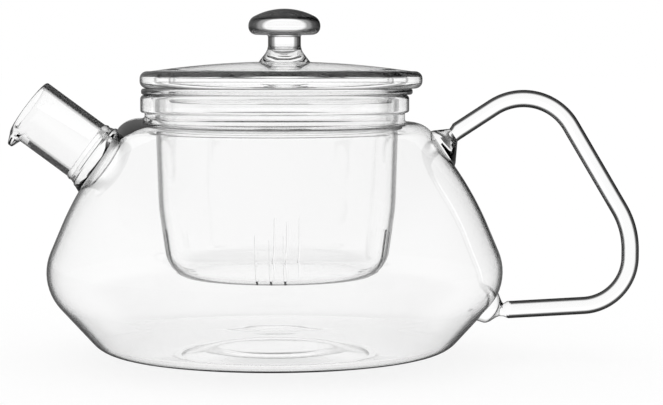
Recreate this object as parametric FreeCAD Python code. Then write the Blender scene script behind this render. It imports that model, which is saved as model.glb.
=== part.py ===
import FreeCAD, Part

import math
import os

# Glass teapot with a lift-out infuser and a loose lid.
# Millimetres, +Z up. The origin is the middle of the ring that the pot stands on;
# the spout points along -X and the handle stands out along +X.

V = FreeCAD.Vector
Z_AXIS = V(0, 0, 1)
ORIGIN = V(0, 0, 0)

# Blown pot
wall = 1.9
foot_ring_inner_r = 35.5
foot_ring_outer_r = 38.5
foot_ring_rounding = 1.5
punt_rise = 3.0
punt_flat_r = 24.0
punt_rounding = 30.0
heel_inset = 23.2
heel_z = 3.6
heel_rounding = 11.6
belly_r = 89.6
belly_z = 29.2
belly_rounding = 19.3
waist_inset = 13.6
waist_z = 61.2
waist_rounding = 118.0
shoulder_width = 7.6
shoulder_z = 89.35
shoulder_rounding = 10.4
neck_r = 49.2
neck_height = 10.4
neck_rounding = 1.2
rim_overhang = 1.6
rim_height = 6.8
rim_rounding = 1.2
mouth_rounding = 0.6

# Lift-out infuser
infuser_gap = 1.2
infuser_wall = 1.5
infuser_seat_shift = 0.8
infuser_depth = 69.1
infuser_waist_up = 26.5
infuser_waist_taper = 1.4
infuser_floor_taper = 5.1
infuser_corner_rounding = 11.0
infuser_waist_rounding = 60.0
flange_overhang = 0.5
flange_thickness = 2.3
flange_rounding = 0.9

# Saw-cut slits in the infuser, in groups of three
slit_width = 0.8
slit_spacing = 5.1
slit_height = 19.0
slit_floor_reach = 9.5
slit_middle_drop = 1.5
slits_per_group = 3
saw_overshoot = 5.0
saw_floor_clearance = 0.5
saw_wall_clearance = 1.5
slit_group_turns = (-2.0, 76.0, 176.0, 284.0)

# Loose lid, which has slid towards the handle as far as its collar lets it
lid_seat_shift = 2.4
lid_overhang = 2.1
lid_edge_height = 6.5
lid_edge_width = 4.1
lid_edge_rounding = 2.8
lid_wall = 2.2
lid_dome_rise = 3.65
collar_gap = 2.0
collar_wall = 1.6
collar_depth = 5.4
collar_rounding = 0.7

# Solid glass knob, fused a little off the middle of the lid
knob_shift = 1.2
knob_foot_r = 9.8
knob_foot_height = 4.5
knob_foot_rounding = 6.0
knob_stem_r = 6.2
knob_stem_height = 10.1
knob_r = 13.6
knob_dome_rise = 6.4
knob_side_rounding = 4.0
knob_edge_drop = 3.4
knob_edge_rounding = 3.0

# Spout: a straight drawn tube fused on
spout_r = 12.0
spout_wall = 1.7
spout_hole_step = 0.6
spout_rise_angle = 36.5
spout_root_drop = 14.45
spout_run = 33.3
weld_length = 5.8
weld_edge = 0.4
weld_edge_rounding = 0.3
weld_flank_rounding = 4.0
weld_flare = 2.1
lip_reach = 3.8
lip_drop = 1.9
lip_length = 4.9
lip_spread = 6.0
lip_rounding = 0.9

# Handle: a solid rod bent to a loop and fused on at both ends
rod_r = 3.3
handle_root_drop = 7.9
handle_rise_angle = 33.1
handle_rise_run = 46.3
handle_crown_bend = 20.9
handle_back_rise = 31.3
handle_back_bend = 30.9
handle_back_straight = 0.6
handle_finger_room = 45.5
handle_tail_drop = 11.4
handle_tail_slope = 3.2
upper_foot_r = 7.3
upper_foot_waist_r = 2.9
upper_foot_waist_up = 6.2
upper_foot_length = 8.0
upper_foot_sag = 2.9
lower_foot_r = 5.7
lower_foot_waist_r = 2.4
lower_foot_waist_in = 2.3
lower_foot_height = 2.7
lower_foot_tilt = 30.0
lower_foot_length = 9.4

# Places that follow from those sizes
neck_top_z = shoulder_z + neck_height
neck_bore_r = neck_r - wall
rim_r = neck_r + rim_overhang
waist_r = belly_r - waist_inset
infuser_r = neck_bore_r - infuser_gap
infuser_floor_z = neck_top_z - infuser_depth
flange_r = rim_r + flange_overhang
flange_top_z = neck_top_z + flange_thickness
lid_r = flange_r + lid_overhang
lid_edge_inner_r = lid_r - lid_edge_width
lid_edge_top_z = flange_top_z + lid_edge_height
lid_top_z = lid_edge_top_z + lid_dome_rise
knob_foot_z = lid_top_z - 0.5 * lid_wall
knob_stem_top_z = lid_top_z + knob_stem_height
infuser_seat = V(infuser_seat_shift, 0, 0)
lid_seat = V(lid_seat_shift, 0, 0)
knob_seat = V(lid_seat_shift + knob_shift, 0, 0)


def bent(points, roundings):
    """Edges along a run of points, with an arc of the given rounding at each inner point."""
    edges = []
    last = points[0]
    for before, corner, after, rounding in zip(points, points[1:], points[2:], roundings):
        back = (before - corner).normalize()
        ahead = (after - corner).normalize()
        half = back.getAngle(ahead) / 2
        reach = rounding / math.tan(half)
        if rounding > 0:
            start = corner + back * reach
            end = corner + ahead * reach
            to_middle = (back + ahead).normalize() * (rounding / math.sin(half) - rounding)
            edges.append(Part.makeLine(last, start))
            edges.append(Part.Arc(start, corner + to_middle, end).toShape())
            last = end
        else:
            edges.append(Part.makeLine(last, corner))
            last = corner
    edges.append(Part.makeLine(last, points[-1]))
    return edges


def section_edges(corners):
    """Edges in the XZ plane through (radius, height, rounding) corners."""
    points = [V(r, 0, z) for r, z, rounding in corners]
    return bent(points, [rounding for r, z, rounding in corners[1:-1]])


def spun(edges):
    """Solid of revolution about Z of closed section edges."""
    return Part.Face(Part.Wire(edges)).revolve(ORIGIN, Z_AXIS, 360)


def turned(corners):
    """Solid of revolution of a closed section, whose first corner is sharp."""
    return spun(section_edges(corners + [corners[0]]))


def filled(outline):
    """Solid of revolution of an outline that runs from the axis out and up to its top."""
    return turned(outline + [(0, outline[-1][1], 0)])


def inset(outline, depth):
    """The same outline moved inwards by depth, with its roundings kept parallel."""
    lines = []
    for (r1, z1, _), (r2, z2, _) in zip(outline, outline[1:]):
        length = math.hypot(r2 - r1, z2 - z1)
        along_r = (r2 - r1) / length
        along_z = (z2 - z1) / length
        lines.append((r1 - along_z * depth, z1 + along_r * depth, along_r, along_z))
    moved = [(lines[0][0], lines[0][1], 0)]
    for before, after, corner in zip(lines, lines[1:], outline[1:]):
        r1, z1, along_r, along_z = before
        r2, z2, next_r, next_z = after
        turn = along_r * next_z - along_z * next_r
        run = ((r2 - r1) * next_z - (z2 - z1) * next_r) / turn
        rounding = corner[2] - depth if turn > 0 else corner[2] + depth
        moved.append((r1 + along_r * run, z1 + along_z * run, max(rounding, 0)))
    moved.append((outline[-1][0] - lines[-1][3] * depth, outline[-1][1], 0))
    return moved


def along(shape, start, direction):
    """A shape made about Z, moved so that its axis runs from start along direction."""
    placed = shape.copy()
    placed.Placement = FreeCAD.Placement(start, FreeCAD.Rotation(Z_AXIS, direction))
    return placed


def heading(angle):
    """Unit vector in the XZ plane at an angle above +X, in degrees."""
    return V(math.cos(math.radians(angle)), 0, math.sin(math.radians(angle)))


# Pot

pot_outline = [
    (0, punt_rise, 0),
    (punt_flat_r, punt_rise, punt_rounding),
    (foot_ring_inner_r, 0, foot_ring_rounding),
    (foot_ring_outer_r, 0, foot_ring_rounding),
    (belly_r - heel_inset, heel_z, heel_rounding),
    (belly_r, belly_z, belly_rounding),
    (waist_r, waist_z, waist_rounding),
    (neck_r + shoulder_width, shoulder_z, shoulder_rounding),
    (neck_r, shoulder_z, neck_rounding),
    (neck_r, neck_top_z - rim_height, 0),
]


def flank_r(z):
    """Radius of the pot's outer flank at a height, before its corners are rounded."""
    for (r1, z1, _), (r2, z2, _) in zip(pot_outline[4:], pot_outline[5:]):
        if z1 <= z <= z2:
            return r1 + (r2 - r1) * (z - z1) / (z2 - z1)
    return neck_r


def pot_outside():
    """The pot's outer form, filled solid."""
    return filled(pot_outline)


def make_pot_body():
    """Blown shell from the foot ring to the neck, with the hole that the spout opens from."""
    shell = pot_outside().cut(filled(inset(pot_outline, wall)))
    return shell.cut(spout_rod(spout_r - spout_wall - spout_hole_step))


def make_neck_rim():
    """Thick rolled ring that finishes the neck and carries the infuser."""
    return turned([
        (neck_bore_r, neck_top_z - rim_height, 0),
        (rim_r, neck_top_z - rim_height, rim_rounding),
        (rim_r, neck_top_z, rim_rounding),
        (neck_bore_r, neck_top_z, mouth_rounding),
    ])


# Spout

spout_root_z = shoulder_z - spout_root_drop
spout_outwards = V(-math.cos(math.radians(spout_rise_angle)), 0, math.sin(math.radians(spout_rise_angle)))
spout_root = V(-flank_r(spout_root_z), 0, spout_root_z)
spout_mouth = spout_root + spout_outwards * spout_run
spout_inwards = spout_outwards * -1
spout_reach = spout_run + 4 * wall


def spout_rod(radius):
    """A cylinder on the spout's axis, from the mouth to just inside the pot."""
    return Part.makeCylinder(radius, spout_reach, spout_mouth, spout_inwards)


def pouring_lip():
    """Small turned-down lip: a flared ring, kept only where it hangs below the mouth."""
    flare = turned([
        (spout_r - spout_wall, 0, 0),
        (spout_r, 0, lip_rounding),
        (spout_r + lip_reach, lip_drop, lip_rounding),
        (spout_r + lip_reach, lip_length - lip_rounding, lip_rounding),
        (spout_r, lip_length, lip_rounding),
        (spout_r - spout_wall, lip_length, 0),
    ])
    below = V(spout_inwards.z, 0, -spout_inwards.x)
    keep = Part.makeCylinder(
        spout_r + lip_reach - lip_spread, lip_length, spout_mouth + below * lip_spread, spout_inwards
    )
    return along(flare, spout_mouth, spout_inwards).common(keep)


def make_spout_tube():
    """Drawn tube with a fire-polished mouth, mitred to the pot's wall."""
    tube = spout_rod(spout_r).fuse(pouring_lip())
    tube = tube.cut(spout_rod(spout_r - spout_wall))
    return tube.cut(pot_outside()).removeSplitter()


def make_spout_weld():
    """Flared ring of glass where the tube is fused to the pot."""
    ring = turned([
        (spout_r, spout_run - weld_length, 0),
        (spout_r + weld_edge, spout_run - weld_length, weld_edge_rounding),
        (spout_r + weld_edge, spout_run - weld_length / 2, weld_flank_rounding),
        (spout_r + weld_flare, spout_run + wall, 0),
        (spout_r + weld_flare, spout_reach, 0),
        (spout_r, spout_reach, 0),
    ])
    return along(ring, spout_mouth, spout_inwards).cut(pot_outside())


# Handle

handle_root_z = shoulder_z - handle_root_drop
handle_root = V(flank_r(handle_root_z), 0, handle_root_z)
handle_crown = handle_root + heading(handle_rise_angle) * handle_rise_run
handle_reach_x = belly_r + handle_finger_room
handle_tail_z = belly_z - handle_tail_drop
handle_tail = V(flank_r(handle_tail_z) + lower_foot_length, 0, handle_tail_z)
handle_elbow = V(handle_reach_x, 0, handle_tail_z + handle_back_rise)
handle_low_rise = (handle_reach_x - handle_tail.x) * math.tan(math.radians(handle_tail_slope))
handle_low = V(handle_reach_x, 0, handle_tail_z + handle_low_rise)
elbow_turn = (handle_elbow - handle_crown).getAngle(handle_low - handle_elbow)
low_turn = math.radians(90 + handle_tail_slope)
back_length = handle_elbow.z - handle_low.z - handle_back_straight
handle_low_bend = (back_length - handle_back_bend * math.tan(elbow_turn / 2)) / math.tan(low_turn / 2)
rod_start = handle_root + heading(handle_rise_angle) * upper_foot_length


def make_handle_rod():
    """The loop of rod between its two fused feet."""
    path = Part.Wire(bent(
        [rod_start, handle_crown, handle_elbow, handle_low, handle_tail],
        [handle_crown_bend, handle_back_bend, handle_low_bend],
    ))
    end = Part.Wire(Part.makeCircle(rod_r, rod_start, heading(handle_rise_angle)))
    return path.makePipeShell([end], True, False)


def make_handle_upper_foot():
    """Drop of glass that spreads from the rod onto the pot's shoulder."""
    rise = heading(handle_rise_angle)
    down = V(rise.z, 0, -rise.x)
    waist = handle_root + rise * upper_foot_waist_up + down * (rod_r - upper_foot_waist_r)
    spread = upper_foot_r + wall
    shapes = [
        Part.makeCircle(spread, handle_root + down * upper_foot_sag - rise * wall, rise),
        Part.makeCircle(upper_foot_waist_r, waist, rise),
        Part.makeCircle(rod_r, rod_start, rise),
    ]
    drop = Part.makeLoft([Part.Wire(circle) for circle in shapes], True, True)
    return drop.cut(pot_outside())


def make_handle_lower_foot():
    """Wafer of glass pressed square onto the belly, waisted where the rod begins."""
    inwards = heading(180 + handle_tail_slope)
    square = heading(180 - lower_foot_tilt)
    waist = handle_tail + inwards * lower_foot_waist_in
    shapes = [
        Part.makeCircle(rod_r, handle_tail, inwards),
        Part.makeCircle(lower_foot_waist_r, waist, inwards),
        Part.makeCircle(lower_foot_r, waist + square * lower_foot_height, square),
        Part.makeCircle(lower_foot_r, waist + square * 3 * lower_foot_height, square),
    ]
    button = Part.makeLoft([Part.Wire(circle) for circle in shapes], True, True)
    return button.cut(pot_outside())


# Infuser

infuser_outline = [
    (0, infuser_floor_z, 0),
    (infuser_r - infuser_floor_taper, infuser_floor_z, infuser_corner_rounding),
    (infuser_r - infuser_waist_taper, infuser_floor_z + infuser_waist_up, infuser_waist_rounding),
    (infuser_r, neck_top_z, 0),
]


def slit_blade(height, sideways):
    """The glass that one saw cut takes out of the wall, the corner and the floor."""
    floor_r = infuser_r - infuser_floor_taper
    inside_z = infuser_floor_z + infuser_wall + saw_floor_clearance
    outside_r = infuser_r + saw_overshoot
    under_z = infuser_floor_z - saw_overshoot
    top_r = infuser_r - infuser_waist_taper - infuser_wall - saw_wall_clearance
    corners = [
        V(floor_r - slit_floor_reach, sideways, under_z),
        V(floor_r - slit_floor_reach, sideways, inside_z),
        V(top_r, sideways, infuser_floor_z + height),
        V(outside_r, sideways, infuser_floor_z + height),
        V(outside_r, sideways, under_z),
    ]
    face = Part.Face(Part.makePolygon(corners + [corners[0]]))
    return face.extrude(V(0, slit_width, 0))


def make_infuser_cup():
    """Blown cup with groups of parallel slits sawn across its lower corner."""
    cup = filled(infuser_outline).cut(filled(inset(infuser_outline, infuser_wall)))
    blades = []
    for turn in slit_group_turns:
        for i in range(slits_per_group):
            offset = (i - (slits_per_group - 1) / 2) * slit_spacing
            height = slit_height - slit_middle_drop if offset == 0 else slit_height
            blade = slit_blade(height, offset - slit_width / 2)
            blade.rotate(ORIGIN, Z_AXIS, turn - 90.0)
            blades.append(blade)
    return cup.cut(blades).translated(infuser_seat)


def make_infuser_flange():
    """Turned-out flange that hangs the infuser on the neck rim."""
    inner_r = inset(infuser_outline, infuser_wall)[-1][0]
    flange = turned([
        (inner_r, neck_top_z, 0),
        (flange_r, neck_top_z, flange_rounding),
        (flange_r, flange_top_z, flange_rounding),
        (inner_r, flange_top_z, flange_rounding),
    ])
    return flange.translated(infuser_seat)


# Lid

def lid_dome(lower_by):
    """Section edge of the domed face, an arc about the lid's axis from its edge to its middle."""
    dome_r = (lid_edge_inner_r ** 2 + lid_dome_rise ** 2) / (2 * lid_dome_rise)
    top_z = lid_top_z - lower_by
    half_way = lid_edge_inner_r / 2
    half_way_drop = dome_r - math.sqrt(dome_r ** 2 - half_way ** 2)
    edge = V(lid_edge_inner_r, 0, top_z - lid_dome_rise)
    return Part.Arc(edge, V(half_way, 0, top_z - half_way_drop), V(0, 0, top_z)).toShape()


def lid_space_above(lower_by):
    """Everything above the domed face, out to the lid's edge."""
    ceiling = knob_stem_top_z + knob_dome_rise
    roof = [
        V(0, 0, lid_top_z - lower_by),
        V(0, 0, ceiling),
        V(lid_edge_inner_r, 0, ceiling),
        V(lid_edge_inner_r, 0, lid_edge_top_z - lower_by),
    ]
    return spun([lid_dome(lower_by)] + Part.makePolygon(roof).Edges)


def make_lid_plate():
    """Shallow domed disc."""
    return lid_space_above(lid_wall).cut(lid_space_above(0)).translated(lid_seat)


def make_lid_edge():
    """Thick rounded bead round the disc, which rests on the infuser's flange."""
    bead = turned([
        (lid_edge_inner_r, flange_top_z, 0),
        (lid_r, flange_top_z, lid_edge_rounding),
        (lid_r, lid_edge_top_z, lid_edge_rounding),
        (lid_edge_inner_r, lid_edge_top_z, 0),
    ])
    return bead.translated(lid_seat)


def make_lid_collar():
    """Short ring under the disc that keeps the lid from sliding off the infuser."""
    outer_r = inset(infuser_outline, infuser_wall)[-1][0] - collar_gap
    ring = turned([
        (outer_r - collar_wall, flange_top_z - collar_depth, 0),
        (outer_r, flange_top_z - collar_depth, collar_rounding),
        (outer_r, lid_top_z, 0),
        (outer_r - collar_wall, lid_top_z, 0),
    ])
    return ring.cut(lid_space_above(lid_wall)).translated(lid_seat)


def make_knob_stem():
    """Solid stem with a flared foot, fused to the middle of the lid."""
    stem = turned([
        (0, knob_foot_z - lid_wall, 0),
        (knob_foot_r, knob_foot_z - lid_wall, 0),
        (knob_foot_r, lid_top_z, 0),
        (knob_stem_r, lid_top_z + knob_foot_height, knob_foot_rounding),
        (knob_stem_r, knob_stem_top_z, 0),
        (0, knob_stem_top_z, 0),
    ])
    return stem.translated(knob_seat).common(lid_space_above(0).translated(lid_seat))


def make_knob_cap():
    """Solid flattened dome, the part that is held: a broad arc on top and a tight one at its side."""
    equator_z = knob_stem_top_z + knob_edge_drop
    side_x = knob_r - knob_side_rounding
    top_r = (side_x ** 2 + knob_dome_rise ** 2 - knob_side_rounding ** 2) / (
        2 * (knob_dome_rise - knob_side_rounding)
    )
    top_centre_z = equator_z + knob_dome_rise - top_r
    side_angle = math.atan2(equator_z - top_centre_z, side_x)

    def on_arc(centre_x, centre_z, radius, angle):
        return V(centre_x + radius * math.cos(angle), 0, centre_z + radius * math.sin(angle))

    apex = V(0, 0, equator_z + knob_dome_rise)
    meet = on_arc(0, top_centre_z, top_r, side_angle)
    broad_middle = on_arc(0, top_centre_z, top_r, (side_angle + math.pi / 2) / 2)
    tight_middle = on_arc(side_x, equator_z, knob_side_rounding, side_angle / 2)
    side = V(knob_r, 0, equator_z)
    crown = [
        Part.Arc(side, tight_middle, meet).toShape(),
        Part.Arc(meet, broad_middle, apex).toShape(),
    ]
    under = section_edges([
        (0, apex.z, 0),
        (0, knob_stem_top_z, 0),
        (knob_r, knob_stem_top_z, knob_edge_rounding),
        (knob_r, equator_z, 0),
    ])
    return spun(crown + under).translated(knob_seat)


nodes = {
    "pot_body": make_pot_body,
    "neck_rim": make_neck_rim,
    "spout_tube": make_spout_tube,
    "spout_weld": make_spout_weld,
    "handle_rod": make_handle_rod,
    "handle_upper_foot": make_handle_upper_foot,
    "handle_lower_foot": make_handle_lower_foot,
    "infuser_cup": make_infuser_cup,
    "infuser_flange": make_infuser_flange,
    "lid_plate": make_lid_plate,
    "lid_edge": make_lid_edge,
    "lid_collar": make_lid_collar,
    "knob_stem": make_knob_stem,
    "knob_cap": make_knob_cap,
}

os.makedirs("parts", exist_ok=True)
for name, make in nodes.items():
    shape = make()
    shape.exportStep(f"parts/{name}.step")
    box = shape.BoundBox
    print(
        f"{name}: solids {len(shape.Solids)}, valid {shape.isValid()}, volume {shape.Volume:.1f},"
        f" x {box.XMin:.2f} {box.XMax:.2f}, z {box.ZMin:.2f} {box.ZMax:.2f}"
    )
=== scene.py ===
import math

import bmesh
import bpy
from mathutils import Matrix, Vector


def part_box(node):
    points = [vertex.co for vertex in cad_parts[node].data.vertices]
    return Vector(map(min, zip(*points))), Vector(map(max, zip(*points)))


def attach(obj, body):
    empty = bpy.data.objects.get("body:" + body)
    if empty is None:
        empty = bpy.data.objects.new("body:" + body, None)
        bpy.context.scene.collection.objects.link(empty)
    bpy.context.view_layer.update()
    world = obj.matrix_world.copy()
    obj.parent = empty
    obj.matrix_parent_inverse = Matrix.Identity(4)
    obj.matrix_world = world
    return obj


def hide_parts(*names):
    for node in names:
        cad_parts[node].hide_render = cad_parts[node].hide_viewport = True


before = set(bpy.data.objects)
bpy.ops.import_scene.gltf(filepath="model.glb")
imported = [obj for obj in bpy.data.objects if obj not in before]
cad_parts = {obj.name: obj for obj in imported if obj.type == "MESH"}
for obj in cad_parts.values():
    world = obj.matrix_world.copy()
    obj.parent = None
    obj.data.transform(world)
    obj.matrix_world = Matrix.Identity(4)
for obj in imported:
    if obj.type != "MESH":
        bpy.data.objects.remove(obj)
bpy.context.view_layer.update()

# Clear glass. Borosilicate, drawn or blown and then fire-polished, with the faint waviness that
# leaves. Edge on, glass shows the dark sides of a studio: painted shade, a tint in its colour which
# deepens towards the edge, stands in for them. Faces inside a wall are left without that painted shade.

MM = 0.001


def clear_glass(name, edge, waviness, wave_size, bending=1.47):
    """Clear glass with painted shade deepening towards its edge, by stops of (how far edge on, share kept).
    """
    glass = bpy.data.materials.new(name)
    glass.use_nodes = True
    nodes = glass.node_tree.nodes
    links = glass.node_tree.links
    surface = nodes["Principled BSDF"]
    surface.inputs["Roughness"].default_value = 0.0
    surface.inputs["IOR"].default_value = bending
    surface.inputs["Transmission Weight"].default_value = 1.0

    facing = nodes.new("ShaderNodeLayerWeight")
    facing.inputs["Blend"].default_value = 0.5
    # painted shade: the glass's colour darkens as it turns edge on
    painted_edge_shade = nodes.new("ShaderNodeValToRGB")
    painted_edge_shade.color_ramp.interpolation = "EASE"
    for edge_on, _ in edge[1:-1]:
        painted_edge_shade.color_ramp.elements.new(edge_on)
    for stop, (_, share) in zip(painted_edge_shade.color_ramp.elements, edge):
        light = share ** 2
        stop.color = (light, light, light, 1)
    links.new(facing.outputs["Facing"], painted_edge_shade.inputs["Fac"])
    links.new(painted_edge_shade.outputs["Color"], surface.inputs["Base Color"])

    place = nodes.new("ShaderNodeTexCoord")
    ripple = nodes.new("ShaderNodeTexNoise")
    ripple.inputs["Scale"].default_value = 1 / wave_size
    ripple.inputs["Detail"].default_value = 1.0
    raised = nodes.new("ShaderNodeBump")
    raised.inputs["Strength"].default_value = waviness
    raised.inputs["Distance"].default_value = MM
    links.new(place.outputs["Object"], ripple.inputs["Vector"])
    links.new(ripple.outputs["Fac"], raised.inputs["Height"])
    links.new(raised.outputs["Normal"], surface.inputs["Normal"])

    rays = nodes.new("ShaderNodeLightPath")
    passing = nodes.new("ShaderNodeBsdfTransparent")
    passing.inputs["Color"].default_value = (0.985, 0.987, 0.987, 1)
    blend = nodes.new("ShaderNodeMixShader")
    links.new(rays.outputs["Is Shadow Ray"], blend.inputs["Fac"])
    links.new(surface.outputs["BSDF"], blend.inputs[1])
    links.new(passing.outputs["BSDF"], blend.inputs[2])
    links.new(blend.outputs["Shader"], nodes["Material Output"].inputs["Surface"])
    return glass


# Each kind of clear glass here and further on carries its own stops of painted edge shade; inner and flat
# glass have none.
blown_glass = clear_glass(
    "blown_glass", [(0.0, 1), (0.6, 1), (0.76, 0.95), (0.83, 0.3), (0.88, 0.06), (1.0, 0.02)], 0.05, 55 * MM
)
inner_glass = clear_glass("inner_glass", [(0.0, 1), (1.0, 1)], 0.04, 55 * MM)
flat_glass = clear_glass("flat_glass", [(0.0, 1), (1.0, 1)], 0.03, 40 * MM, bending=1.06)
worked_glass = clear_glass(
    "worked_glass", [(0.0, 1), (0.35, 0.97), (0.55, 0.6), (0.75, 0.2), (1.0, 0.08)], 0.2, 6 * MM, bending=1.2
)


# Pot body and neck. One gather of glass blown into a mould: a wide belly, a straight flank up
# to the shoulder, a short neck, and a base pushed up inside the ring it stands on. The neck
# ends in a thick rolled rim worked from the same glass.

pot_sides = 240
pot_wall = 1.9 * MM
pot_step = 2.0 * MM
pot_bend = math.radians(6)
rim_low, rim_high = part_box("neck_rim")
rim_r = rim_high.x
rim_overhang = 1.6 * MM
neck_r = rim_r - rim_overhang
neck_bore_r = neck_r - pot_wall
neck_height = 3.6 * MM
shoulder_z = rim_low.z - neck_height
belly_r = 89.59 * MM
base_lift = 3.0 * MM

# radius, height and rounding of each corner of the outside, from the axis up to the neck
pot_profile = [
    (0, base_lift, 0),
    (24 * MM, base_lift, 30 * MM),
    (35.5 * MM, 0, 1.5 * MM),
    (38.5 * MM, 0, 1.5 * MM),
    (belly_r - 23.2 * MM, 3.6 * MM, 11.6 * MM),
    (belly_r, 29.2 * MM, 19.3 * MM),
    (belly_r - 13.6 * MM, 61.2 * MM, 118 * MM),
    (neck_r + 7.6 * MM, shoulder_z, 10.4 * MM),
    (neck_r, shoulder_z, 1.2 * MM),
]


def softened(corners, step, bend):
    """Points along an outline of (x, y, rounding) corners, with an arc at every rounded corner."""
    points = [Vector(corners[0][:2])]

    def straight_to(end):
        start = points[-1]
        count = max(1, round((end - start).length / step))
        for i in range(1, count + 1):
            points.append(start.lerp(end, i / count))

    for before, corner, after in zip(corners, corners[1:], corners[2:]):
        at = Vector(corner[:2])
        rounding = corner[2]
        back = (Vector(before[:2]) - at).normalized()
        ahead = (Vector(after[:2]) - at).normalized()
        half = back.angle(ahead) / 2
        if rounding == 0:
            straight_to(at)
            continue
        middle = at + (back + ahead).normalized() * (rounding / math.sin(half))
        start = at + back * (rounding / math.tan(half))
        if (start - points[-1]).length > 0.001 * MM:
            straight_to(start)
        turn = math.pi - 2 * half
        count = max(3, math.ceil(turn / bend), math.ceil(turn * rounding / step))
        way = 1 if back.cross(ahead) < 0 else -1
        for i in range(1, count + 1):
            points.append(middle + Matrix.Rotation(way * turn * i / count, 2) @ (start - middle))
    straight_to(Vector(corners[-1][:2]))
    return points


def inside_of(corners, depth):
    """The same outline moved inwards by a wall's thickness, with its roundings kept parallel."""
    sides = []
    for (r1, z1, _), (r2, z2, _) in zip(corners, corners[1:]):
        along = Vector((r2 - r1, z2 - z1)).normalized()
        sides.append((Vector((r1, z1)) + Vector((-along.y, along.x)) * depth, along))
    inner = [(*sides[0][0], 0)]
    for (start, along), (onward_start, onward), corner in zip(sides, sides[1:], corners[1:]):
        turn = along.cross(onward)
        at = start + along * ((onward_start - start).cross(onward) / turn)
        inner.append((*at, max(0, corner[2] - math.copysign(depth, turn))))
    return inner


def closed_piece(name, verts, faces, glass):
    """A new object from a closed mesh, with every face turned outwards."""
    mesh = bpy.data.meshes.new(name)
    mesh.materials.append(glass)
    mesh.from_pydata(verts, [], faces)
    shape = bmesh.new()
    shape.from_mesh(mesh)
    bmesh.ops.recalc_face_normals(shape, faces=shape.faces)
    shape.to_mesh(mesh)
    shape.free()
    piece = bpy.data.objects.new(name, mesh)
    bpy.context.scene.collection.objects.link(piece)
    return piece


def spun(name, outline, sides, glass):
    """Closed piece turned about Z from an outline that starts and ends on the axis."""
    verts = []
    rings = []
    for point in outline:
        count = 1 if point.x < 0.0001 * MM else sides
        rings.append([len(verts) + i % count for i in range(sides + 1)])
        for i in range(count):
            turn = 2 * math.pi * i / sides
            verts.append((point.x * math.cos(turn), point.x * math.sin(turn), point.y))
    faces = []
    for low, high in zip(rings, rings[1:]):
        for i in range(sides):
            face = dict.fromkeys((low[i], low[i + 1], high[i + 1], high[i]))
            faces.append(tuple(face))
    return closed_piece(name, verts, faces, glass)


def kind_of_glass(piece, glass):
    """The number of a kind of glass on a piece, which gets it if it hasn't got it yet."""
    if glass.name not in piece.data.materials:
        piece.data.materials.append(glass)
    return piece.data.materials.find(glass.name)


def other_glass(piece, glass, belongs):
    """Another kind of glass on the faces whose place (x, radius, height) belongs to it."""
    number = kind_of_glass(piece, glass)
    for face in piece.data.polygons:
        x, y, z = face.center
        if belongs(x, math.hypot(x, y), z):
            face.material_index = number


def smooth_step(value):
    value = min(1, max(0, value))
    return value * value * (3 - 2 * value)


mouth_rounding = 0.9 * MM
above_mouth_z = rim_high.z + 9 * MM
pot = spun("pot_glass", softened(pot_profile + [
    (neck_r, rim_low.z, 0.5 * MM),
    (rim_r, rim_low.z, 1.0 * MM),
    (rim_r, rim_high.z, 1.6 * MM),
    (0, rim_high.z, 0),
], pot_step, pot_bend), pot_sides, blown_glass)
pot_inside = inside_of(pot_profile + [(neck_r, rim_high.z, 0)], pot_wall)
hollow = spun("pot_hollow", softened(pot_inside + [
    (neck_bore_r, rim_high.z, mouth_rounding),
    (neck_bore_r + mouth_rounding, rim_high.z, 0),
    (neck_bore_r + mouth_rounding, above_mouth_z, 0),
    (0, above_mouth_z, 0),
], pot_step, pot_bend), pot_sides, inner_glass)

# The base and the shoulder lie nearly flat, and the painted edge shade would turn them dark all over, so
# they have none.
base_height = 7 * MM
base_r = 62 * MM
shoulder_depth = 6 * MM
hair = 0.1 * MM
for part in (pot, hollow):
    other_glass(part, inner_glass, lambda x, r, z: z < base_height and r < base_r)
other_glass(pot, inner_glass, lambda x, r, z: shoulder_z - shoulder_depth < z < rim_low.z + hair)

# The shoulder was drawn up a little by the heat when the spout went on beside it.
swelling = 1.5 * MM
swelling_width = math.radians(20)
swelling_start = 80 * MM
swelling_rise = 7 * MM
swelling_fall = 3.4 * MM
for vert in pot.data.vertices:
    x, y, z = vert.co
    beside = math.exp(-(math.atan2(y, -x) / swelling_width) ** 2)
    rising = smooth_step((z - swelling_start) / swelling_rise)
    height = rising * smooth_step((rim_low.z - z) / swelling_fall)
    if height > 0 and math.hypot(x, y) > neck_r - hair:
        vert.co.z += swelling * beside * height


# Spout. A straight drawn tube fused over a hole in the flank, with rings of soft glass where
# the two were melted together. Its mouth is fire-polished round, and the lower edge of the
# mouth was pulled down into a small pouring lip.

spout_rise = math.radians(36.5)
spout_run = 33.3 * MM
spout_r = 12.0 * MM
spout_bore_r = 10.3 * MM
spout_inwards = Vector((math.cos(spout_rise), 0, -math.sin(spout_rise)))
spout_below = Vector((spout_inwards.z, 0, -spout_inwards.x))
spout_root = Vector((-66.65 * MM, 0, 74.9 * MM))
spout_mouth = spout_root - spout_inwards * spout_run
spout_polish = 0.8 * MM
spout_weld = spout_run - 6.3 * MM
lip_reach = 3.7 * MM
lip_half_width = math.radians(56)
weld_rings = (1.3 * MM, 2.9 * MM, 4.3 * MM)
weld_bore_rings = (0.9 * MM, 2.2 * MM, 3.7 * MM)
weld_ring_width = 0.4 * MM


def hump(place, middle, width):
    return math.exp(-((place - middle) / width) ** 2)


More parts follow.
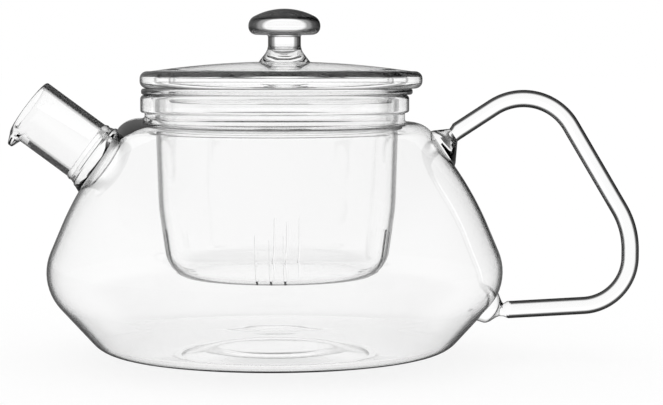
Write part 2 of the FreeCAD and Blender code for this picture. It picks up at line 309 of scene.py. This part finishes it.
def spout_outside(place, turn):
    """Radius of the tube's outer face at a distance from the mouth and an angle from below."""
    radius = spout_r
    if place < spout_polish:
        radius -= spout_polish - math.sqrt(spout_polish ** 2 - (spout_polish - place) ** 2)
    lip = smooth_step(place / (2.1 * MM)) * smooth_step((5.2 * MM - place) / (1.9 * MM))
    radius += lip_reach * lip * smooth_step(1 - abs(turn) / lip_half_width)
    weld = place - spout_weld
    radius += 0.35 * MM * smooth_step(weld / (0.7 * MM))
    for middle in weld_rings:
        radius += 0.18 * MM * hump(weld, middle, weld_ring_width)
    radius += 0.42 * max(0, weld - 2.2 * MM) * smooth_step((weld - 2.2 * MM) / (2 * MM))
    return radius


def spout_inside(place, turn):
    """Radius of the tube's bore, which opens over the lip and narrows to the hole in the pot."""
    radius = spout_bore_r
    if place < spout_polish:
        radius += spout_polish - math.sqrt(spout_polish ** 2 - (spout_polish - max(0, place)) ** 2)
    channel = smooth_step((5.5 * MM - place) / (5.5 * MM))
    radius += 1.9 * MM * channel * smooth_step(1 - abs(turn) / lip_half_width)
    weld = place - spout_weld
    radius -= 0.6 * MM * smooth_step((weld - 0.8 * MM) / (4 * MM))
    for middle in weld_bore_rings:
        radius -= 0.12 * MM * hump(weld, middle, weld_ring_width)
    return radius


tube_glass = clear_glass(
    "tube_glass", [(0.0, 1), (0.3, 0.99), (0.38, 0.6), (0.44, 0.08), (1.0, 0.02)], 0.04, 30 * MM
)


def tube(name, places, radius_at, glass, sides=96):
    """Closed tube on the spout's axis, from a radius for each place and turn."""
    verts = []
    across = spout_inwards.cross(spout_below)
    for place in places:
        for i in range(sides):
            turn = 2 * math.pi * i / sides
            spoke = spout_below * math.cos(turn) + across * math.sin(turn)
            radius = radius_at(place, turn if turn <= math.pi else turn - 2 * math.pi)
            verts.append(spout_mouth + spout_inwards * place + spoke * radius)
    faces = [tuple(range(sides)), tuple(range(len(verts) - sides, len(verts)))]
    for low in range(0, len(verts) - sides, sides):
        for i in range(sides):
            j = (i + 1) % sides
            faces.append((low + i, low + sides + i, low + sides + j, low + j))
    return closed_piece(name, verts, faces, glass)


def stations(*spans):
    """Places along the tube: (from, to, step) in millimetres."""
    places = []
    for start, end, step in spans:
        count = round((end - start) / step)
        places += [(start + (end - start) * i / count) * MM for i in range(count)]
    return places + [spans[-1][1] * MM]


spout_polish_places = [spout_polish * (1 - math.cos(math.radians(a))) for a in range(0, 90, 15)]
spout = tube("spout_glass", spout_polish_places + stations(
    (0.8, 5.4, 0.2), (5.4, 26.6, 1.5), (26.6, 35, 0.2), (35, 40, 1)
), spout_outside, tube_glass)
spout_bore = tube("spout_bore", [-6 * MM] + spout_polish_places + stations(
    (0.8, 6, 0.4), (6, 26.6, 1.5), (26.6, 33, 0.2), (33, 45, 2)
), spout_inside, inner_glass)


# Handle. A solid rod bent hot into a loop and fused on at both ends: at the top it spreads as
# a soft drop over the shoulder, at the bottom it is necked and pressed square onto the belly.

rod_r = 3.3 * MM
rod_sides = 56
handle_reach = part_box("handle_rod")[1].x - rod_r
handle_root = Vector((62.2 * MM, 81.45 * MM))
handle_slope = math.radians(33.1)
handle_rise = Vector((math.cos(handle_slope), math.sin(handle_slope)))
handle_crown = handle_root + handle_rise * 46.3 * MM
handle_tail = Vector((88.65 * MM, 17.8 * MM))
tail_slope = math.radians(3.2)
handle_tail_run = Vector((-math.cos(tail_slope), -math.sin(tail_slope)))
handle_low_z = handle_tail.y + (handle_reach - handle_tail.x) * math.tan(tail_slope)
root_depth = 4 * MM
neck_in = 2.3 * MM
seat_tilt = math.radians(18)
seat_run = 12 * MM
handle_neck = handle_tail + handle_tail_run * neck_in
handle_seat = handle_neck + Vector((-math.cos(seat_tilt), math.sin(seat_tilt))) * seat_run


def drop_at_root(travelled):
    """Radius and sag of the rod's upper end, which slumped a little downwards before it set."""
    up = (travelled - root_depth) / MM
    if up > 8.4:
        return rod_r, 0
    if up > 6.2:
        share = smooth_step((8.4 - up) / 2.2)
        return (3.3 - 0.5 * share) * MM, -0.5 * share * MM
    spread = max(0.4, up)
    return (2.8 + 0.9 * (6.2 - spread)) * MM, (-0.5 - 0.38 * (6.2 - spread)) * MM


def wafer_at_tail(left):
    """Radius of the rod's lower end, where it is necked and then pressed wide."""
    before = (left - seat_run) / MM
    if before > 2.3:
        return rod_r
    if before > 0:
        return (3.3 - 0.9 * smooth_step((2.3 - before) / 1.9)) * MM
    return (2.4 + 3.3 * smooth_step(-before / 5.2) + 0.35 * min(-before, 3)) * MM


rod_glass = clear_glass(
    "rod_glass", [(0.0, 1), (0.15, 0.99), (0.21, 0.5), (0.28, 0.06), (1.0, 0.01)], 0.02, 20 * MM
)


def swept_rod(name, path, sides):
    """Closed rod along a path in the plane of spout and handle."""
    length = sum((b - a).length for a, b in zip(path, path[1:]))
    travelled = 0
    verts = []
    for k, point in enumerate(path):
        along = (path[min(k + 1, len(path) - 1)] - path[max(k - 1, 0)]).normalized()
        travelled += (point - path[max(k - 1, 0)]).length
        radius, sag = drop_at_root(travelled)
        if travelled > length / 2:
            radius = wafer_at_tail(length - travelled)
        outward = Vector((-along.y, along.x))
        for i in range(sides):
            turn = 2 * math.pi * i / sides
            place = point + outward * (sag + radius * math.cos(turn))
            verts.append((place.x, radius * math.sin(turn), place.y))
    faces = [tuple(range(sides)), tuple(range(len(verts) - sides, len(verts)))]
    for low in range(0, len(verts) - sides, sides):
        for i in range(sides):
            j = (i + 1) % sides
            faces.append((low + i, low + j, low + sides + j, low + sides + i))
    return closed_piece(name, verts, faces, rod_glass)


elbow_height = 31.3 * MM
elbow = Vector((handle_reach, handle_tail.y + elbow_height))
elbow_turn = (elbow - handle_crown).angle(Vector((0, -1)))
low_turn = math.radians(93.2)
back_bend = 30.9 * MM
crown_bend = 20.9 * MM
neck_bend = 1.5 * MM
back_straight = 0.6 * MM
back_left = elbow.y - handle_low_z - back_straight - back_bend * math.tan(elbow_turn / 2)
handle = swept_rod("handle_glass", softened([
    (*(handle_root - handle_rise * root_depth), 0),
    (*handle_crown, crown_bend),
    (*elbow, back_bend),
    (handle_reach, handle_low_z, back_left / math.tan(low_turn / 2)),
    (*handle_neck, neck_bend),
    (*handle_seat, 0),
], 1.0 * MM, math.radians(3)), rod_sides)
upper_foot_x = handle_root.x + 4.5 * MM
lower_foot_x = handle_tail.x + 0.5 * MM
lower_foot_top = 30 * MM
other_glass(handle, worked_glass, lambda x, r, z: x < upper_foot_x or (
    z < lower_foot_top and x < lower_foot_x))


# Fusing. Spout and handle are melted onto the pot, so the pot is one piece of glass: there
# are no faces inside it where its parts meet.

def work(piece, tool, operation):
    """Fuse a second piece on, or take its shape away, and use the tool up."""
    change = piece.modifiers.new("work", "BOOLEAN")
    change.operation = operation
    change.solver = "EXACT"
    change.material_mode = "TRANSFER"
    change.object = tool
    bpy.context.view_layer.update()
    worked = piece.evaluated_get(bpy.context.evaluated_depsgraph_get())
    mesh = bpy.data.meshes.new_from_object(worked)
    piece.modifiers.clear()
    piece.data = mesh
    bpy.data.objects.remove(tool)


def finished(piece, sharpness=math.radians(28)):
    """Polished smooth everywhere but at real edges."""
    for face in piece.data.polygons:
        face.use_smooth = True
    piece.data.set_sharp_from_angle(angle=sharpness)


lip_x = spout_mouth.x + MM
lip_top = spout_mouth.z - 10 * MM
other_glass(spout, worked_glass, lambda x, r, z: x < lip_x and z < lip_top)
other_glass(spout, worked_glass, lambda x, r, z: (
    (x - spout_mouth.x) * spout_inwards.x + (z - spout_mouth.z) * spout_inwards.z > spout_weld))
work(pot, spout, "UNION")
work(pot, handle, "UNION")
work(hollow, spout_bore, "UNION")
work(pot, hollow, "DIFFERENCE")
finished(pot)
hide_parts("pot_body", "neck_rim", "spout_tube", "spout_weld", "handle_rod",
            "handle_upper_foot", "handle_lower_foot")
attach(pot, "pot")


# Infuser. A second blown cup that hangs in the neck by its turned-out flange. Four groups of
# three slits were sawn through its lower corner, by hand and not quite evenly.

flange_low, flange_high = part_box("infuser_flange")
cup_low, cup_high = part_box("infuser_cup")
infuser_x = (flange_low.x + flange_high.x) / 2
flange_r = (flange_high.x - flange_low.x) / 2
cup_wall = 1.5 * MM
cup_sides = 256
cup_top_r = (cup_high.y - cup_low.y) / 2 + 0.2 * MM
cup_floor_r = cup_top_r - 5.1 * MM
flange_rounding = 0.9 * MM
cup_profile = [
    (0, cup_low.z, 0),
    (cup_floor_r, cup_low.z, 11 * MM),
    (cup_top_r - 1.4 * MM, cup_low.z + 26.5 * MM, 60 * MM),
]
cup_inside = inside_of(cup_profile + [(cup_top_r, flange_high.z, 0), (cup_top_r, 1, 0)], cup_wall)
cup_bore_r = cup_inside[-1][0]
cup_inside = cup_inside[:-1]
cup_glass = clear_glass(
    "cup_glass", [(0.0, 1), (0.56, 1), (0.66, 0.94), (0.75, 0.1), (1.0, 0.02)], 0.05, 45 * MM
)
infuser = spun("infuser_glass", softened(cup_profile + [
    (cup_top_r, flange_low.z, 0.8 * MM),
    (flange_r, flange_low.z, flange_rounding),
    (flange_r, flange_high.z, flange_rounding),
    (cup_bore_r, flange_high.z, flange_rounding),
] + list(reversed(cup_inside)), 1.6 * MM, math.radians(8)), cup_sides, cup_glass)
inner_number = kind_of_glass(infuser, inner_glass)
for face in infuser.data.polygons:
    outwards = face.normal.xy.dot(face.center.xy.normalized())
    if outwards < -0.1 or (face.normal.z > 0.5 and face.center.z < cup_low.z + 8 * MM):
        face.material_index = inner_number
other_glass(infuser, inner_glass, lambda x, r, z: z < cup_low.z + 4 * MM and r < cup_floor_r - 8 * MM)

slit_width = 0.8 * MM
slit_spacing = 5.1 * MM
slit_height = 19 * MM
slit_middle_drop = 1.5 * MM
slit_floor_reach = 9.5 * MM
slit_group_turns = (-2, 76, 176, 284)
# The sawn faces carry painted shade: their glass is tinted dark all over, darker still edge on, so that the
# slits show as dark lines.
cut_glass_painted_dark = clear_glass("cut_glass_painted_dark", [(0.0, 0.3), (0.6, 0.15), (1.0, 0.1)], 0.3, 2 * MM)


def saw_cut(height, sideways, turn):
    """The glass that one saw cut takes out of the wall, the corner and the floor."""
    side = [
        (cup_floor_r - slit_floor_reach, cup_low.z - 5 * MM),
        (cup_floor_r - slit_floor_reach, cup_low.z + cup_wall + 0.5 * MM),
        (cup_top_r - 4.4 * MM, cup_low.z + height),
        (cup_top_r + 5 * MM, cup_low.z + height),
        (cup_top_r + 5 * MM, cup_low.z - 5 * MM),
    ]
    placed = Matrix.Rotation(math.radians(turn - 90), 4, "Z")
    verts = [
        placed @ Vector((x, sideways + y, z))
        for y in (-slit_width / 2, slit_width / 2)
        for x, z in side
    ]
    count = len(side)
    faces = [tuple(range(count)), tuple(range(count, 2 * count))]
    for i in range(count):
        j = (i + 1) % count
        faces.append((i, j, j + count, i + count))
    return closed_piece("saw_cut", verts, faces, cut_glass_painted_dark)


for turn in slit_group_turns:
    for i in (-1, 0, 1):
        height = slit_height if i else slit_height - slit_middle_drop
        work(infuser, saw_cut(height, i * slit_spacing, turn), "DIFFERENCE")
infuser.data.transform(Matrix.Translation((infuser_x, 0, 0)))
finished(infuser)
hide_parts("infuser_cup", "infuser_flange")
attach(infuser, "infuser")


# Lid. A shallow domed disc with a thick rolled edge and a short collar under it that keeps it
# from sliding off the infuser.

edge_low, edge_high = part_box("lid_edge")
lid_x = (edge_low.x + edge_high.x) / 2
lid_r = (edge_high.x - edge_low.x) / 2
disc_r = lid_r - 4.1 * MM
disc_wall = 2.2 * MM
dome_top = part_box("lid_plate")[1].z
dome_rise = dome_top - edge_high.z
dome_r = (disc_r ** 2 + dome_rise ** 2) / (2 * dome_rise)
collar_low, collar_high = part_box("lid_collar")
collar_r = (collar_high.y - collar_low.y) / 2
collar_wall = 1.6 * MM
collar_bore_r = collar_r - collar_wall
collar_rounding = 0.75 * MM
lid_sides = 256
lid_rounding = 2.8 * MM
seam = 1.2 * MM


def dome_z(r, below):
    return dome_top - below - dome_r + math.sqrt(dome_r ** 2 - r ** 2)


def dome(from_r, to_r, below, count):
    """Points along the domed face, not counting the first."""
    points = []
    for i in range(1, count + 1):
        r = from_r + (to_r - from_r) * i / count
        points.append(Vector((r, dome_z(r, below))))
    return points


def under(r):
    return (r, dome_z(r, disc_wall))


lid_outline = [Vector((0, dome_top))] + dome(0, disc_r, 0, 26)
lid_outline += softened([
    (disc_r, edge_high.z, 0),
    (lid_r, edge_high.z, lid_rounding),
    (lid_r, edge_low.z, lid_rounding),
    (disc_r - seam, edge_low.z, 0.8 * MM),
    (*under(disc_r - seam), 0.8 * MM),
    (*under(disc_r - 3 * seam), 0),
], 0.8 * MM, math.radians(8))[1:]
lid_outline += dome(disc_r - 3 * seam, collar_r + seam, disc_wall, 2)
lid_outline += softened([
    (*under(collar_r + seam), 0),
    (*under(collar_r), 0.5 * MM),
    (collar_r, collar_low.z, collar_rounding),
    (collar_bore_r, collar_low.z, collar_rounding),
    (*under(collar_bore_r), 0.5 * MM),
    (*under(collar_bore_r - seam), 0),
], 0.8 * MM, math.radians(10))[1:]
lid_outline += dome(collar_bore_r - seam, 0, disc_wall, 20)
bead_glass = clear_glass(
    "bead_glass", [(0.0, 1), (0.03, 1), (0.08, 0.12), (1.0, 0.08)], 0.02, 30 * MM
)
lid = spun("lid_glass", lid_outline, lid_sides, flat_glass)
other_glass(lid, blown_glass, lambda x, r, z: z < edge_high.z - 1 * MM and (
    r > disc_r - 3 * seam or z < edge_high.z - disc_wall))
other_glass(lid, bead_glass, lambda x, r, z: r > lid_r - lid_rounding and z > edge_high.z - 2.0 * MM)


# Knob. Worked from solid rod and fused to the lid a little off its middle: a flared foot, a
# short stem and a flattened dome to hold.

knob_low, knob_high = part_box("knob_cap")
knob_x = (knob_low.x + knob_high.x) / 2
knob_r = (knob_high.x - knob_low.x) / 2
knob_side = 4.0 * MM
knob_dome_rise = 6.4 * MM
knob_equator = knob_high.z - knob_dome_rise
stem_r = 6.2 * MM
foot_r = 9.8 * MM
foot_height = 4.5 * MM
foot_sunk_z = dome_top - disc_wall / 2 - 0.4 * MM
knob_sides = 128
knob_side_x = knob_r - knob_side
knob_top_r = (knob_side_x ** 2 + knob_dome_rise ** 2 - knob_side ** 2) / (2 * (knob_dome_rise - knob_side))
knob_side_start = math.atan2(knob_equator - knob_high.z + knob_top_r, knob_side_x)


def knob_arc(centre_x, centre_z, radius, start, end, count):
    """Points along an arc, not counting the first."""
    turns = [start + (end - start) * i / count for i in range(1, count + 1)]
    return [Vector((centre_x + radius * math.cos(t), centre_z + radius * math.sin(t))) for t in turns]


knob_outline = [Vector((0, knob_high.z))]
knob_outline += knob_arc(0, knob_high.z - knob_top_r, knob_top_r, math.pi / 2, knob_side_start, 20)
knob_outline += knob_arc(knob_side_x, knob_equator, knob_side, knob_side_start, 0, 14)
knob_outline += softened([
    (knob_r, knob_equator, 0),
    (knob_r, knob_low.z, 3.0 * MM),
    (stem_r, knob_low.z, 0.9 * MM),
    (stem_r, dome_top + foot_height, 6 * MM),
    (foot_r, dome_top - 0.2 * MM, 0),
    (foot_r, foot_sunk_z, 0),
    (0, foot_sunk_z, 0),
], 0.6 * MM, math.radians(7))[1:]
solid_glass = clear_glass(
    "solid_glass", [(0.0, 1), (0.14, 0.98), (0.24, 0.35), (0.4, 0.1), (1.0, 0.04)], 0.02, 20 * MM
)
knob = spun("knob_glass", knob_outline, knob_sides, solid_glass)
other_glass(knob, worked_glass, lambda x, r, z: z < dome_top + foot_height - 0.4 * MM)
knob.data.transform(Matrix.Translation((knob_x - lid_x, 0, 0)))
work(lid, knob, "UNION")
lid.data.transform(Matrix.Translation((lid_x, 0, 0)))
finished(lid)
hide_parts("lid_plate", "lid_edge", "lid_collar", "knob_stem", "knob_cap")
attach(lid, "lid")


# Studio. A sheet of paper that runs on into a white surround, and one soft lamp high on the
# left, behind the pot. Both look white to the eye and through the glass, but what the glass
# mirrors is dim, like the unlit side of the room.

floor_reach = 30
floor_mesh = bpy.data.meshes.new("floor")
floor_mesh.from_pydata([
    (-floor_reach, -floor_reach, 0), (floor_reach, -floor_reach, 0),
    (floor_reach, floor_reach, 0), (-floor_reach, floor_reach, 0),
], [], [(0, 1, 2, 3)])
floor = bpy.data.objects.new("floor", floor_mesh)
bpy.context.scene.collection.objects.link(floor)
paper = bpy.data.materials.new("white_paper")
paper.use_nodes = True
nodes = paper.node_tree.nodes
links = paper.node_tree.links
surface = nodes["Principled BSDF"]
surface.inputs["Base Color"].default_value = (0.2, 0.2, 0.2, 1)
surface.inputs["Roughness"].default_value = 1.0
surface.inputs["Specular IOR Level"].default_value = 0.0
rays = nodes.new("ShaderNodeLightPath")
seen = nodes.new("ShaderNodeMath")
seen.operation = "MAXIMUM"
links.new(rays.outputs["Is Camera Ray"], seen.inputs[0])
links.new(rays.outputs["Is Transmission Ray"], seen.inputs[1])
glow = nodes.new("ShaderNodeMath")
glow.operation = "MULTIPLY"
paper_glow = 0.815
glow.inputs[1].default_value = paper_glow
links.new(seen.outputs["Value"], glow.inputs[0])
surface.inputs["Emission Color"].default_value = (1, 1, 1, 1)
links.new(glow.outputs["Value"], surface.inputs["Emission Strength"])
floor.data.materials.append(paper)

world = bpy.data.worlds.new("studio")
world.use_nodes = True
nodes = world.node_tree.nodes
links = world.node_tree.links
rays = nodes.new("ShaderNodeLightPath")
around = nodes.new("ShaderNodeTexCoord")
split = nodes.new("ShaderNodeSeparateXYZ")
links.new(around.outputs["Generated"], split.inputs["Vector"])

# seen through the glass: white to well above the level of the eye, greyer overhead
overhead = nodes.new("ShaderNodeMapRange")
overhead.interpolation_type = "SMOOTHSTEP"
for socket, value in (("From Min", 0.4), ("From Max", 0.7), ("To Min", 1.08), ("To Max", 0.4)):
    overhead.inputs[socket].default_value = value
links.new(split.outputs["Z"], overhead.inputs["Value"])

# mirrored by the glass: dim on the left, and nearly black on the right
mirrored = nodes.new("ShaderNodeMapRange")
for socket, value in (("From Min", -0.4), ("From Max", 0.3), ("To Min", 0.32), ("To Max", 0.03)):
    mirrored.inputs[socket].default_value = value
links.new(split.outputs["X"], mirrored.inputs["Value"])
glassy = nodes.new("ShaderNodeMix")
links.new(rays.outputs["Is Transmission Ray"], glassy.inputs["Factor"])
links.new(mirrored.outputs["Result"], glassy.inputs["A"])
links.new(overhead.outputs["Result"], glassy.inputs["B"])

# what lights the paper, and what the camera sees behind the pot
room_light = 0.8
surround_white = 1.0
lit = nodes.new("ShaderNodeMix")
lit.inputs["A"].default_value = room_light
links.new(rays.outputs["Is Glossy Ray"], lit.inputs["Factor"])
links.new(glassy.outputs["Result"], lit.inputs["B"])
shown = nodes.new("ShaderNodeMix")
links.new(rays.outputs["Is Camera Ray"], shown.inputs["Factor"])
links.new(lit.outputs["Result"], shown.inputs["A"])
shown.inputs["B"].default_value = surround_white
links.new(shown.outputs["Result"], nodes["Background"].inputs["Strength"])
nodes["Background"].inputs["Color"].default_value = (1, 1, 1, 1)
bpy.context.scene.world = world

lamp_shape = bpy.data.lights.new("soft_lamp", "SUN")
lamp_shape.angle = math.radians(30)
lamp_shape.energy = 0.63
lamp = bpy.data.objects.new("soft_lamp", lamp_shape)
lamp_shines_towards = Vector((0.75, -0.35, -0.75))
lamp.rotation_euler = lamp_shines_towards.to_track_quat("-Z", "Y").to_euler()
lamp.visible_glossy = False
lamp.visible_transmission = False
bpy.context.scene.collection.objects.link(lamp)
bpy.context.scene.view_settings.view_transform = "Standard"


# Camera. A long lens, about level with the lid, square to the plane of spout and handle.

camera_dip = 3.887
lens = bpy.data.cameras.new("studio_camera")
lens.sensor_width = 36
lens.lens = 105.88
camera = bpy.data.objects.new("studio_camera", lens)
camera.location = (21.4 * MM, -739.4 * MM, 109.0 * MM)
camera.rotation_euler = (math.radians(90 - camera_dip), 0, 0)
bpy.context.scene.collection.objects.link(camera)
bpy.context.scene.camera = camera
